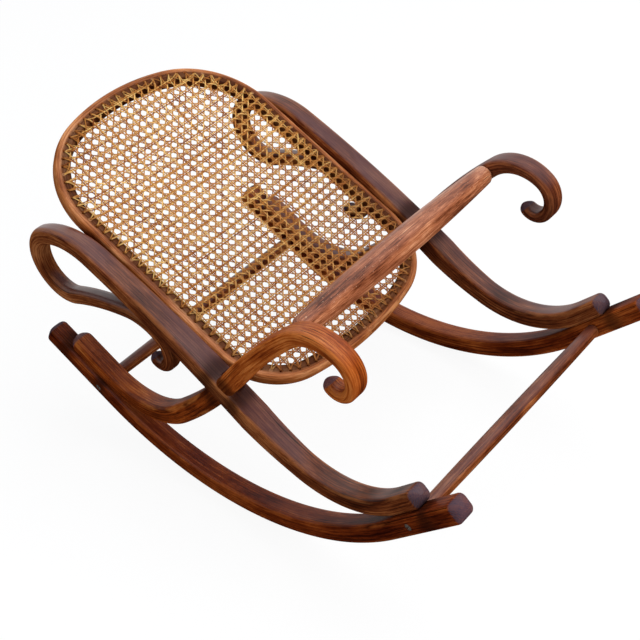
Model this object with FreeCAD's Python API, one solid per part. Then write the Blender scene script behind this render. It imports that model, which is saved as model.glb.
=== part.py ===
"""Bentwood rocking footstool: two bent side frames on runners, joined by three bars and a caned seat hoop.

Frame: +X points to the hooked front end, +Y to the left side, +Z up. Millimetres.
The stool stands at rest on its runners, with the origin under the middle of its box.
"""
import FreeCAD, Part
import math
import os
from collections import namedtuple

Vector = FreeCAD.Vector

# Driving dimensions

RUNNER_SPACING = 400.0    # between the middle planes of the two runners
FRAME_SPACING = 391.0     # between the middle planes of the bent pieces that stand on them
RUNNER_WIDTH = 30.0
RUNNER_THICK = 26.5
RUNNER_EDGE = 6.0         # corner radius of the runner's section
RUNNER_RADIUS = 395.0     # rocking curve, at the middle of the runner
REAR_RISE = 29.395        # degrees that the runner turns up behind the resting point
FRONT_RISE = 46.105       # degrees that it turns up in front of it
REAR_RUN = 127.0          # straight rear end of the runner
FRONT_RUN = 135.0         # straight front end of the runner

RAIL_FOOT_SETBACK = 56.0  # from the runner's front end to the rail's foot
LEG_FOOT_SETBACK = 34.5   # from the runner's rear end to the cross leg's foot
FRONT_BAR_SETBACK = 91.0  # from the runner's front end to the front stretcher
REAR_BAR_SETBACK = 104.5  # from the runner's rear end to the rear stretcher
FOOT_BAR_SETBACK = 6.0    # from the end of the arm to the foot bar

HOOP_SLOPE = 25.995       # degrees that the seat rises towards the rear
HOOP_FRONT_X = 84.23      # middle of the hoop's front bar, from the resting point
HOOP_FRONT_Z = 178.22
HOOP_LENGTH = 463.5       # the hoop is measured at the middle of its bar
HOOP_BAR_WIDTH = 22.0
HOOP_BAR_THICK = 20.0
HOOP_BAR_EDGE = 6.0
HOOP_FRONT_BOW = 11.5     # degrees that each half of the bowed front bar turns
HOOP_REAR_BOW = 16.4
HOOP_FRONT_CORNER = 89.0
HOOP_REAR_CORNER = 119.5
HOOP_PLAY = 0.3           # between the hoop and each rail

CANE_HOLE_PITCH = 12.6
CANE_HOLE = 5.0
CANE_HOLE_INSET = 0.5     # from the middle of the hoop's bar inwards to the ring of holes
CANE_THICK = 2.0
NET_PITCH = 20.0          # gaps of the cane panel, coarser than the woven ones
NET_GAP = 12.6            # across flats

FOOT_BAR_MIDDLE = 36.0    # diameters of the turned bars
FOOT_BAR_END = 26.0
FOOT_BAR_NOSE = 6.0       # rounding of the foot bar's ends
TENON = 14.0
TENON_DEPTH = 16.0
STRETCHER_MIDDLE = 19.5
STRETCHER_END = 17.0
STRETCHER_NOSE = 2.0

SCREW_SHANK = 5.0
SCREW_HEAD = 10.0
SCREW_CONE = 2.6          # depth of the countersunk head
SCREW_POINT = 5.0
SCREW_SLOT = 1.2          # width and depth of the slot
SCREW_SLOT_TURN = 25.0
SCREW_RECESS = 1.0        # head below the wood's face
STRETCHER_SCREW = 58.0
FOOT_SCREW = 42.0
FOOT_SCREW_PLACES = (18.0, 40.0)   # from the end of each foot
HOOP_SCREW = 40.0
HOOP_SCREW_PLACES = (95.0, 250.0)  # from the front of the hoop
CROSSING_SCREW = 24.0
PEG_LENGTH = 14.0
PEG_EVERY = 6             # one cane hole in six is pegged

REAR_END_ROUND = 7.0      # rounding of the runners' rear ends
FRONT_END_ROUND = 11.0    # rounding of the runners' front ends and of the feet

# Bent pieces, leg by leg. A leg is a straight length or a bend of a radius and a turn in degrees.
# Its width, thickness and corner radius are those at its far end.

Leg = namedtuple("Leg", "size turn width thick edge")

RAIL_FOOT = (28.5, 23.5, 6.0)
RAIL_LEGS = [
    Leg(46.5, 0.0, *RAIL_FOOT),            # foot along the runner
    Leg(136.4, -67.0, 30.0, 27.0, 6.0),    # knee above the foot
    Leg(390.0, -11.4, 35.0, 29.0, 5.0),    # rise to the seat
    Leg(1700.0, 9.4, 30.5, 25.5, 7.0),     # seat rail
    Leg(114.0, 49.5, 26.0, 25.0, 10.0),    # shoulder behind the seat
    Leg(45.7, 175.4, 24.0, 22.5, 9.5),     # loop
    Leg(394.5, -16.0, 24.0, 18.5, 9.0),    # return under the rail
    Leg(70.9, -44.2, 24.0, 16.5, 8.0),     # dip
    Leg(31.2, -87.8, 24.0, 17.5, 8.0),     # curl
    Leg(16.5, -115.4, 20.5, 15.0, 7.0),    # tip of the curl
]
CROSS_LEG_FOOT = (30.0, 23.5, 9.0)
CROSS_LEG_LEGS = [
    Leg(77.0, 0.0, *CROSS_LEG_FOOT),       # foot along the runner
    Leg(117.6, 71.6, 31.0, 28.5, 8.0),     # bend up from the runner
    Leg(819.0, 12.5, 31.0, 26.0, 6.0),     # crossing
    Leg(750.0, -10.7, 30.0, 21.5, 7.0),    # arm
    Leg(57.5, -76.6, 29.0, 15.0, 6.5),     # arch of the hook
    Leg(32.1, -89.9, 28.0, 15.0, 6.5),     # front of the hook
    Leg(19.9, -118.0, 22.0, 14.5, 6.0),    # tip of the hook
]
SEAT_LEG = 3              # leg of the rail that carries the seat
ARM_LEG = 3               # leg of the cross leg that ends at the foot bar
RUNNER_SECTION = (RUNNER_WIDTH, RUNNER_THICK, RUNNER_EDGE)
RUNNER_LEGS = [
    Leg(REAR_RUN, 0.0, *RUNNER_SECTION),
    Leg(RUNNER_RADIUS, REAR_RISE + FRONT_RISE, *RUNNER_SECTION),
    Leg(FRONT_RUN, 0.0, *RUNNER_SECTION),
]

HOOP_SECTION = (HOOP_BAR_WIDTH, HOOP_BAR_THICK, HOOP_BAR_EDGE)

HALF_RUNNERS = RUNNER_SPACING / 2
HALF_FRAME = FRAME_SPACING / 2
RAIL_SEAT_WIDTH = RAIL_LEGS[SEAT_LEG - 1].width
HOOP_HALF_WIDTH = HALF_FRAME - RAIL_SEAT_WIDTH / 2 - HOOP_PLAY - HOOP_BAR_WIDTH / 2
SIDES = {"left": 1, "right": -1}


# Paths of the bent pieces, in the middle plane of a side frame

Station = namedtuple("Station", "x z heading width thick edge")


def heading_vector(heading):
    angle = math.radians(heading)
    return math.cos(angle), math.sin(angle)


def walk(station, leg, share=1.0):
    """The station reached by following a share of one leg."""
    forward_x, forward_z = heading_vector(station.heading)
    if leg.turn == 0:
        x = station.x + leg.size * share * forward_x
        z = station.z + leg.size * share * forward_z
        heading = station.heading
    else:
        side = math.copysign(leg.size, leg.turn)
        heading = station.heading + leg.turn * share
        end_x, end_z = heading_vector(heading)
        x = station.x + side * (end_z - forward_z)
        z = station.z + side * (forward_x - end_x)
    width = station.width + (leg.width - station.width) * share
    thick = station.thick + (leg.thick - station.thick) * share
    edge = station.edge + (leg.edge - station.edge) * share
    return Station(x, z, heading, width, thick, edge)


def stations(start, legs):
    found = [start]
    for leg in legs:
        found.append(walk(found[-1], leg))
    return found


def beside(station, along, above, turn=0.0, form=RUNNER_SECTION):
    """A station moved along and above another, its heading turned."""
    forward_x, forward_z = heading_vector(station.heading)
    x = station.x + along * forward_x - above * forward_z
    z = station.z + along * forward_z + above * forward_x
    return Station(x, z, station.heading + turn, *form)


def runner_start():
    """The rear end of the runner, whose curve touches the floor under the profile's origin."""
    forward_x, forward_z = heading_vector(REAR_RISE)
    x = -RUNNER_RADIUS * forward_z - REAR_RUN * forward_x
    z = RUNNER_THICK / 2 + RUNNER_RADIUS * (1 - forward_x) + REAR_RUN * forward_z
    return Station(x, z, -REAR_RISE, *RUNNER_SECTION)


RUNNER_REAR = runner_start()
RUNNER_FRONT = stations(RUNNER_REAR, RUNNER_LEGS)[-1]
RAIL_START = beside(RUNNER_FRONT, -RAIL_FOOT_SETBACK, (RUNNER_THICK + RAIL_FOOT[1]) / 2, 180.0, RAIL_FOOT)
CROSS_LEG_START = beside(
    RUNNER_REAR, LEG_FOOT_SETBACK, (RUNNER_THICK + CROSS_LEG_FOOT[1]) / 2, 0.0, CROSS_LEG_FOOT)
FRONT_BAR = beside(RUNNER_FRONT, -FRONT_BAR_SETBACK, 0.0)
REAR_BAR = beside(RUNNER_REAR, REAR_BAR_SETBACK, 0.0)
RAIL_STATIONS = stations(RAIL_START, RAIL_LEGS)
CROSS_LEG_STATIONS = stations(CROSS_LEG_START, CROSS_LEG_LEGS)
FOOT_BAR = beside(CROSS_LEG_STATIONS[ARM_LEG + 1], -FOOT_BAR_SETBACK, 0.0)


def crossing_point(steps=200):
    """Where the middle lines of the rail and the cross leg cross, as x and z."""
    def samples(found, legs, first, last):
        return [walk(found[k], legs[k], i / steps) for k in range(first, last + 1) for i in range(steps)]
    rail = samples(RAIL_STATIONS, RAIL_LEGS, SEAT_LEG - 1, SEAT_LEG)
    leg = samples(CROSS_LEG_STATIONS, CROSS_LEG_LEGS, ARM_LEG - 1, ARM_LEG)
    nearest = min(((a.x - b.x) ** 2 + (a.z - b.z) ** 2, a.x, a.z) for a in rail for b in leg)
    return nearest[1:]


# Solids from paths and turned profiles

def at(station, y):
    return Vector(station.x, y, station.z)


def rounded_rectangle(centre, across, up, width, thick, edge):
    """A closed wire with its width along one direction and its thickness along the other."""
    half_width = width / 2
    half_thick = thick / 2
    slant = edge * (1 - math.sqrt(0.5))

    def point(u, v):
        return centre + across * u + up * v

    edges = []
    for sign_u, sign_v in ((1, 1), (-1, 1), (-1, -1), (1, -1)):
        on_side = point(sign_u * half_width, sign_v * (half_thick - edge))
        on_top = point(sign_u * (half_width - edge), sign_v * half_thick)
        middle = point(sign_u * (half_width - slant), sign_v * (half_thick - slant))
        first, last = (on_side, on_top) if sign_u == sign_v else (on_top, on_side)
        if edges:
            edges.append(Part.LineSegment(edges[-1].valueAt(edges[-1].LastParameter), first).toShape())
        edges.append(Part.Arc(first, middle, last).toShape())
    start = edges[0].valueAt(edges[0].FirstParameter)
    edges.append(Part.LineSegment(edges[-1].valueAt(edges[-1].LastParameter), start).toShape())
    return Part.Wire(edges)


def section(station, y):
    forward_x, forward_z = heading_vector(station.heading)
    up = Vector(-forward_z, 0, forward_x)
    return rounded_rectangle(at(station, y), Vector(0, 1, 0), up, station.width, station.thick, station.edge)


def leg_edge(station, leg, y):
    """The middle line of one leg as a straight edge or an arc."""
    end = walk(station, leg)
    if leg.turn == 0:
        return Part.LineSegment(at(station, y), at(end, y)).toShape()
    return Part.Arc(at(station, y), at(walk(station, leg, 0.5), y), at(end, y)).toShape()


def bent_piece(start, legs, y):
    """One bent bar, its section changing evenly along each leg."""
    spans = []
    here = start
    for leg in legs:
        there = walk(here, leg)
        pipe = Part.BRepOffsetAPI.MakePipeShell(Part.Wire([leg_edge(here, leg, y)]))
        pipe.setBiNormalMode(Vector(0, 1, 0))
        pipe.add(section(here, y))
        pipe.add(section(there, y))
        pipe.build()
        pipe.makeSolid()
        spans.append(pipe.shape())
        here = there
    return spans[0].multiFuse(spans[1:]).Solids[0]


def round_end(piece, tip, y, radius, across_width):
    """Rounds the two corners of a bar's end, seen square to its width or to its thickness."""
    forward_x, forward_z = heading_vector(tip.heading)
    forward = Vector(forward_x, 0, forward_z)
    up = Vector(-forward_z, 0, forward_x)
    side = Vector(0, 1, 0)
    if across_width:
        half, through, reach = tip.width / 2, up, tip.thick
        spread = side
    else:
        half, through, reach = tip.thick / 2, side, tip.width
        spread = up
    half = half + 0.2
    past = 2.0
    slant = radius * (1 - math.sqrt(0.5))
    origin = at(tip, y) - through * reach

    def point(along, out):
        return origin + forward * along + spread * out

    cutters = []
    for sign in (1, -1):
        corner = point(past, sign * (half + past))
        low = point(-radius, sign * (half + past))
        start = point(-radius, sign * half)
        middle = point(-slant, sign * (half - slant))
        end = point(0, sign * (half - radius))
        top = point(past, sign * (half - radius))
        outline = [
            Part.LineSegment(low, start).toShape(),
            Part.Arc(start, middle, end).toShape(),
            Part.LineSegment(end, top).toShape(),
            Part.LineSegment(top, corner).toShape(),
            Part.LineSegment(corner, low).toShape(),
        ]
        cutters.append(Part.Face(Part.Wire(outline)).extrude(through * (2 * reach)))
    return piece.cut(cutters).Solids[0]


def reverse(station):
    return station._replace(heading=station.heading + 180)


def turned(profile, place):
    """A solid of revolution about a line along Y, from (y, radius) points in order."""
    ring = [Vector(radius, y, 0) for y, radius in profile]
    outline = [Vector(0, ring[0].y, 0)] + ring + [Vector(0, ring[-1].y, 0)]
    face = Part.Face(Part.makePolygon(outline + outline[:1]))
    solid = face.revolve(Vector(0, 0, 0), Vector(0, 1, 0), 360)
    solid.translate(at(place, 0))
    return solid


def barrel(length, middle, end, nose, tenon=0.0, steps=10):
    """Half profile of a turned bar: an arc-like swell, rounded ends and a tenon, as (y, radius) points."""
    half = length / 2
    body = half - nose
    points = []
    for i in range(-steps, steps + 1):
        share = i / steps
        points.append((share * body, (middle + (end - middle) * share * share) / 2))
    shoulder = max(tenon, end - 2 * nose) / 2
    rounding = []
    for i in range(1, 5):
        turn = math.radians(22.5 * i)
        rounding.append((body + nose * math.sin(turn), end / 2 - (end / 2 - shoulder) * (1 - math.cos(turn))))
    if tenon:
        rounding.append((half, tenon / 2))
        rounding.append((half + TENON_DEPTH, tenon / 2))
    mirrored = [(-y, radius) for y, radius in reversed(rounding)]
    return mirrored + points + rounding


# Fasteners

def screw_body(length, head, direction):
    cone = Part.makeCone(SCREW_HEAD / 2, SCREW_SHANK / 2, SCREW_CONE, head, direction)
    shank_start = head + direction * SCREW_CONE
    shank_length = length - SCREW_CONE - SCREW_POINT
    shank = Part.makeCylinder(SCREW_SHANK / 2, shank_length, shank_start, direction)
    point = Part.makeCone(SCREW_SHANK / 2, 0, SCREW_POINT, shank_start + direction * shank_length, direction)
    return cone.multiFuse([shank, point]).removeSplitter()


def screw(length, face_point, direction):
    """A slotted countersunk wood screw, sunk a little below the face that it enters."""
    head = face_point + direction * SCREW_RECESS
    slot = Part.makeBox(SCREW_SLOT, SCREW_HEAD * 2, SCREW_SLOT, Vector(-SCREW_SLOT / 2, -SCREW_HEAD, 0))
    slot.Placement = FreeCAD.Placement(head, FreeCAD.Rotation(Vector(0, 0, 1), direction))
    slot.rotate(head, direction, SCREW_SLOT_TURN)
    return screw_body(length, head, direction).cut(slot).Solids[0]


def screw_hole(length, face_point, direction):
    """The room that the screw and its countersink take in the wood."""
    head = face_point + direction * SCREW_RECESS
    recess = Part.makeCylinder(SCREW_HEAD / 2, 2 * SCREW_RECESS, head, direction * -1)
    return screw_body(length, head, direction).fuse(recess)


class Fasteners:
    """A group of equal screws: its solids, and the holes that they need."""

    def __init__(self):
        self.solids = []
        self.holes = []

    def add(self, length, face_point, direction):
        self.solids.append(screw(length, face_point, direction))
        self.holes.append(screw_hole(length, face_point, direction))


# The seat hoop, its cane and its pegs, drawn on the sloping seat plane

def seat_axes():
    back, rise = heading_vector(HOOP_SLOPE)
    return Vector(-back, 0, rise), Vector(rise, 0, back)


SEAT_BACK, SEAT_UP = seat_axes()
SEAT_FRONT = Vector(HOOP_FRONT_X, 0, HOOP_FRONT_Z)


def seat_point(back, y, up=0.0):
    return SEAT_FRONT + SEAT_BACK * back + Vector(0, y, 0) + SEAT_UP * up


def bowed_end(corner, bow):
    """Radius of a bowed bar that runs into two corners, and how far the end reaches along the hoop."""
    across, along = heading_vector(90.0 - bow)
    radius = (HOOP_HALF_WIDTH - corner * (1 - across)) / across
    return radius, radius * (1 - along) + corner * along


def hoop_legs(inset):
    """Legs of the hoop's outline moved inwards, from the middle of the front bar round by the right."""
    front, front_reach = bowed_end(HOOP_FRONT_CORNER, HOOP_FRONT_BOW)
    rear, rear_reach = bowed_end(HOOP_REAR_CORNER, HOOP_REAR_BOW)
    half_front = Leg(front - inset, HOOP_FRONT_BOW, *HOOP_SECTION)
    front_corner = Leg(HOOP_FRONT_CORNER - inset, 90.0 - HOOP_FRONT_BOW, *HOOP_SECTION)
    side = Leg(HOOP_LENGTH - front_reach - rear_reach, 0.0, *HOOP_SECTION)
    rear_corner = Leg(HOOP_REAR_CORNER - inset, 90.0 - HOOP_REAR_BOW, *HOOP_SECTION)
    rear_bow = Leg(rear - inset, 2 * HOOP_REAR_BOW, *HOOP_SECTION)
    right_side = [half_front, front_corner, side, rear_corner]
    return right_side + [rear_bow] + right_side[::-1]


def seat_outline(inset, up=0.0):
    """The hoop's outline, moved inwards from the middle of its bar."""
    edges = []
    here = Station(inset, 0.0, -90.0, *HOOP_SECTION)
    for leg in hoop_legs(inset):
        middle = walk(here, leg, 0.5)
        there = walk(here, leg)
        points = [seat_point(place.x, place.z, up) for place in (here, middle, there)]
        curve = Part.Arc(*points) if leg.turn else Part.LineSegment(points[0], points[2])
        edges.append(curve.toShape())
        here = there
    return Part.Wire(edges)


def cane_hole_points():
    ring = seat_outline(CANE_HOLE_INSET)
    count = round(ring.Length / CANE_HOLE_PITCH)
    return ring.discretize(Number=count + 1)[:-1]


def hoop_bar():
    spine = seat_outline(0.0)
    bar = rounded_rectangle(seat_point(0.0, 0.0), SEAT_BACK, SEAT_UP, *HOOP_SECTION)
    pipe = Part.BRepOffsetAPI.MakePipeShell(spine)
    pipe.setBiNormalMode(SEAT_UP)
    pipe.add(bar)
    pipe.build()
    pipe.makeSolid()
    return pipe.shape()


def cane_holes(points):
    start = SEAT_UP * -HOOP_BAR_THICK
    return [Part.makeCylinder(CANE_HOLE / 2, 2 * HOOP_BAR_THICK, p + start, SEAT_UP) for p in points]


def cane_pegs(points):
    foot = SEAT_UP * (HOOP_BAR_THICK / 2 - PEG_LENGTH)
    return [Part.makeCylinder(CANE_HOLE / 2, PEG_LENGTH, p + foot, SEAT_UP) for p in points[::PEG_EVERY]]


def cane_panel():
    """The cane as one flat net, lying on the hoop just inside its ring of holes."""
    level = HOOP_BAR_THICK / 2
    inset = CANE_HOLE_INSET + CANE_HOLE / 2 + HOOP_PLAY
    gaps = []
    columns = round(HOOP_LENGTH / NET_PITCH) + 1
    rows = round(2 * HOOP_HALF_WIDTH / NET_PITCH) + 1
    reach = NET_GAP / 2 / math.cos(math.pi / 8)
    clear = Part.Face(seat_outline(HOOP_BAR_WIDTH / 2 + reach))
    for column in range(columns):
        for row in range(rows):
            back = HOOP_LENGTH / 2 + (column - (columns - 1) / 2) * NET_PITCH
            y = (row - (rows - 1) / 2) * NET_PITCH
            if clear.isInside(seat_point(back, y), 0.01, True):
                turns = [math.pi / 8 + k * math.pi / 4 for k in range(9)]
                ring = [seat_point(back + reach * math.cos(t), y + reach * math.sin(t), level) for t in turns]
                gaps.append(Part.makePolygon(ring))
    print("cane panel gaps", len(gaps))
    net = Part.Face([seat_outline(inset, level)] + gaps)
    return net.extrude(SEAT_UP * CANE_THICK)


# The whole stool

def side_frame(side):
    """The runner, rail and cross leg of one side, with the half-lap cut at their crossing."""
    y = side * HALF_RUNNERS
    runner = bent_piece(RUNNER_REAR, RUNNER_LEGS, y)
    runner = round_end(runner, reverse(RUNNER_REAR), y, REAR_END_ROUND, True)
    runner = round_end(runner, RUNNER_FRONT, y, FRONT_END_ROUND, True)
    runner = round_end(runner, RUNNER_FRONT, y, FRONT_END_ROUND, False)
    y = side * HALF_FRAME
    rail = bent_piece(RAIL_START, RAIL_LEGS, y)
    rail = round_end(rail, reverse(RAIL_START), y, FRONT_END_ROUND, True)
    rail = round_end(rail, reverse(RAIL_START), y, FRONT_END_ROUND, False)
    rail = round_end(rail, RAIL_STATIONS[-1], y, RAIL_STATIONS[-1].width / 2 - 1, True)
    leg = bent_piece(CROSS_LEG_START, CROSS_LEG_LEGS, y)
    leg = round_end(leg, reverse(CROSS_LEG_START), y, CROSS_LEG_START.width / 2 - 1, True)
    leg = round_end(leg, reverse(CROSS_LEG_START), y, FRONT_END_ROUND, False)
    leg = round_end(leg, CROSS_LEG_STATIONS[-1], y, CROSS_LEG_STATIONS[-1].width / 2 - 1, True)

    cross_x, cross_z = crossing_point()
    reach = 2 * RAIL_SEAT_WIDTH
    block = Part.makeBox(2 * reach, reach, 2 * reach, Vector(cross_x - reach, 0, cross_z - reach))
    outer = block.translated(Vector(0, y if side > 0 else y - reach, 0))
    inner = block.translated(Vector(0, y - reach if side > 0 else y, 0))
    notched_rail = rail.cut(leg.common(inner)).Solids[0]
    notched_leg = leg.cut(rail.common(outer)).Solids[0]
    return runner, notched_rail, notched_leg


def between_holes(points, side, place):
    """The distance from the hoop's front, near a wanted place, that is midway between two cane holes."""
    reach = HOOP_HALF_WIDTH - CANE_HOLE_INSET - 1.0
    backs = sorted((p - SEAT_FRONT).dot(SEAT_BACK) for p in points if p.y * side > reach)
    middles = [(a + b) / 2 for a, b in zip(backs, backs[1:])]
    return min(middles, key=lambda back: abs(back - place))


def fasteners(hole_points):
    """All screws of the stool, by node name."""
    groups = {name: Fasteners() for name in (
        "front_stretcher_screws", "rear_stretcher_screws", "front_foot_screws",
        "rear_foot_screws", "crossing_screws", "hoop_screws")}
    cross_x, cross_z = crossing_point()
    for side in SIDES.values():
        inward = Vector(0, -side, 0)
        y = side * HALF_FRAME
        outer_face = side * (HALF_RUNNERS + RUNNER_WIDTH / 2)
        groups["front_stretcher_screws"].add(STRETCHER_SCREW, at(FRONT_BAR, outer_face), inward)
        groups["rear_stretcher_screws"].add(STRETCHER_SCREW, at(REAR_BAR, outer_face), inward)
        for place in FOOT_SCREW_PLACES:
            front = beside(RUNNER_FRONT, -RAIL_FOOT_SETBACK - place, -RUNNER_THICK / 2)
            rear = beside(RUNNER_REAR, LEG_FOOT_SETBACK + place, -RUNNER_THICK / 2)
            for name, station in (("front_foot_screws", front), ("rear_foot_screws", rear)):
                forward_x, forward_z = heading_vector(station.heading)
                groups[name].add(FOOT_SCREW, at(station, y), Vector(-forward_z, 0, forward_x))
        leg_face = side * (HALF_FRAME - CROSS_LEG_STATIONS[ARM_LEG].width / 2)
        groups["crossing_screws"].add(CROSSING_SCREW, Vector(cross_x, leg_face, cross_z), inward * -1)
        hoop_face = side * (HOOP_HALF_WIDTH - HOOP_BAR_WIDTH / 2)
        for place in HOOP_SCREW_PLACES:
            back = between_holes(hole_points, side, place)
            groups["hoop_screws"].add(HOOP_SCREW, seat_point(back, hoop_face), inward * -1)
    return groups


def make_stool():
    """Every piece of the stool by node name, standing at rest with the resting point at the origin."""
    holes = cane_hole_points()
    screws = fasteners(holes)
    parts = {}
    for name, side in SIDES.items():
        runner, rail, leg = side_frame(side)
        parts[name + "_runner"] = runner
        parts[name + "_side_rail"] = rail
        parts[name + "_cross_leg"] = leg
    parts["seat_hoop"] = hoop_bar().cut(cane_holes(holes)).Solids[0]

    inner_length = RUNNER_SPACING - RUNNER_WIDTH
    foot_bar_length = FRAME_SPACING - CROSS_LEG_LEGS[ARM_LEG].width
    bar_profile = barrel(foot_bar_length, FOOT_BAR_MIDDLE, FOOT_BAR_END, FOOT_BAR_NOSE, TENON)
    parts["foot_bar"] = turned(bar_profile, FOOT_BAR)
    rod_profile = barrel(inner_length, STRETCHER_MIDDLE, STRETCHER_END, STRETCHER_NOSE)
    parts["front_stretcher"] = turned(rod_profile, FRONT_BAR)
    parts["rear_stretcher"] = turned(rod_profile, REAR_BAR)

    drilled = {
        "runner": (
            "front_stretcher_screws", "rear_stretcher_screws", "front_foot_screws", "rear_foot_screws"),
        "side_rail": ("front_foot_screws", "crossing_screws", "hoop_screws"),
        "cross_leg": ("rear_foot_screws", "crossing_screws"),
        "seat_hoop": ("hoop_screws",),
        "front_stretcher": ("front_stretcher_screws",),
        "rear_stretcher": ("rear_stretcher_screws",),
    }
    for name in list(parts):
        for ending, groups in drilled.items():
            if name.endswith(ending):
                tools = [hole for group in groups for hole in screws[group].holes]
                parts[name] = parts[name].cut(tools).Solids[0]
        if name.endswith("cross_leg"):
            parts[name] = parts[name].cut(parts["foot_bar"]).Solids[0]

    parts["cane_panel"] = cane_panel()
    parts["cane_pegs"] = Part.makeCompound(cane_pegs(holes))
    for name, group in screws.items():
        parts[name] = Part.makeCompound(group.solids)
    return parts


def centred(parts):
    """The pieces moved along X so that the origin is under the middle of their common box."""
    boxes = [shape.optimalBoundingBox() for shape in parts.values()]
    rear = min(box.XMin for box in boxes)
    front = max(box.XMax for box in boxes)
    middle = (rear + front) / 2
    print("box x", rear, front, "moved by", -middle)
    return {name: shape.translated(Vector(-middle, 0, 0)) for name, shape in parts.items()}


if __name__ == "__main__":
    os.makedirs("parts", exist_ok=True)
    for node, shape in centred(make_stool()).items():
        shape.exportStep("parts/%s.step" % node)
        print(node, "solids", len(shape.Solids), "volume", round(shape.Volume))
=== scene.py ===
# %% [markdown]
# # A bentwood rocking footstool
# The stool is a few long sticks of beech, steamed and bent, screwed together on two rockers,
# with a caned hoop for a seat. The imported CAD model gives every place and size.
# This lesson dresses it: each stick is swept again as a fine surface that remembers where in the
# straight stick every point lay, so that the grain can run round the bends as it does in real bentwood.

# %% Load the frame
import bpy
import numpy as np
from mathutils import Matrix


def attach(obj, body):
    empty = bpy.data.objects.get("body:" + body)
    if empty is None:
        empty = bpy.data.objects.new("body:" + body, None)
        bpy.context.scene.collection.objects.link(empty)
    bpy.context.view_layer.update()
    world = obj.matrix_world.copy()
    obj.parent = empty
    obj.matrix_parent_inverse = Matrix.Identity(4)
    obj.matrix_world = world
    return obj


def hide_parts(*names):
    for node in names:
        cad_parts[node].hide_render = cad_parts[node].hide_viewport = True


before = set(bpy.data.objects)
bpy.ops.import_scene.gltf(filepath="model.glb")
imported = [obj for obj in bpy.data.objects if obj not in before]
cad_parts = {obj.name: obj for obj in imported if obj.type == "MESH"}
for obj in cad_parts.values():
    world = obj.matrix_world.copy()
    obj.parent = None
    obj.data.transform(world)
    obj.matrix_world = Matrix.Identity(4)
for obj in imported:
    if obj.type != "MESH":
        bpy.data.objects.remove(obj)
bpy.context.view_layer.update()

MM = 0.001

# %% [markdown]
# ## Camera
# The photograph looks down on the stool from its front right, with a longish lens.
# The camera's place and axes were worked out from the stool's own bends, so they are written as numbers.

# %% Camera
RIGHT = np.array((0.769100, 0.63609, -0.062215))
DOWN = np.array((0.383591, -0.53728, -0.751127))
FORWARD = np.array((-0.511219, 0.55383, -0.657216))
EYE = np.array((794.86, -868.97, 1191.54)) * MM
SENSOR_WIDTH, FOCAL_LENGTH = 36.0, 66.374


def put(thing, *axes_and_place):
    """Puts a camera or a lamp into the scene by its own three axes and its place."""
    thing.matrix_world = Matrix(np.vstack([np.column_stack(axes_and_place), (0, 0, 0, 1)]).tolist())
    bpy.context.scene.collection.objects.link(thing)


lens = bpy.data.cameras.new("photo_camera")
lens.sensor_width = SENSOR_WIDTH
lens.lens = FOCAL_LENGTH
camera = bpy.data.objects.new("photo_camera", lens)
put(camera, RIGHT, -DOWN, -FORWARD, EYE)
bpy.context.scene.camera = camera
print("camera at", EYE.round(3))

# %% [markdown]
# ## Sums with sockets
# A material is a net of nodes. Written as sums it is far shorter to read, so one small class
# wraps a socket: adding or multiplying two of them adds a Math node, and one method makes
# any other node from its type, its settings and its sockets.

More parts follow.
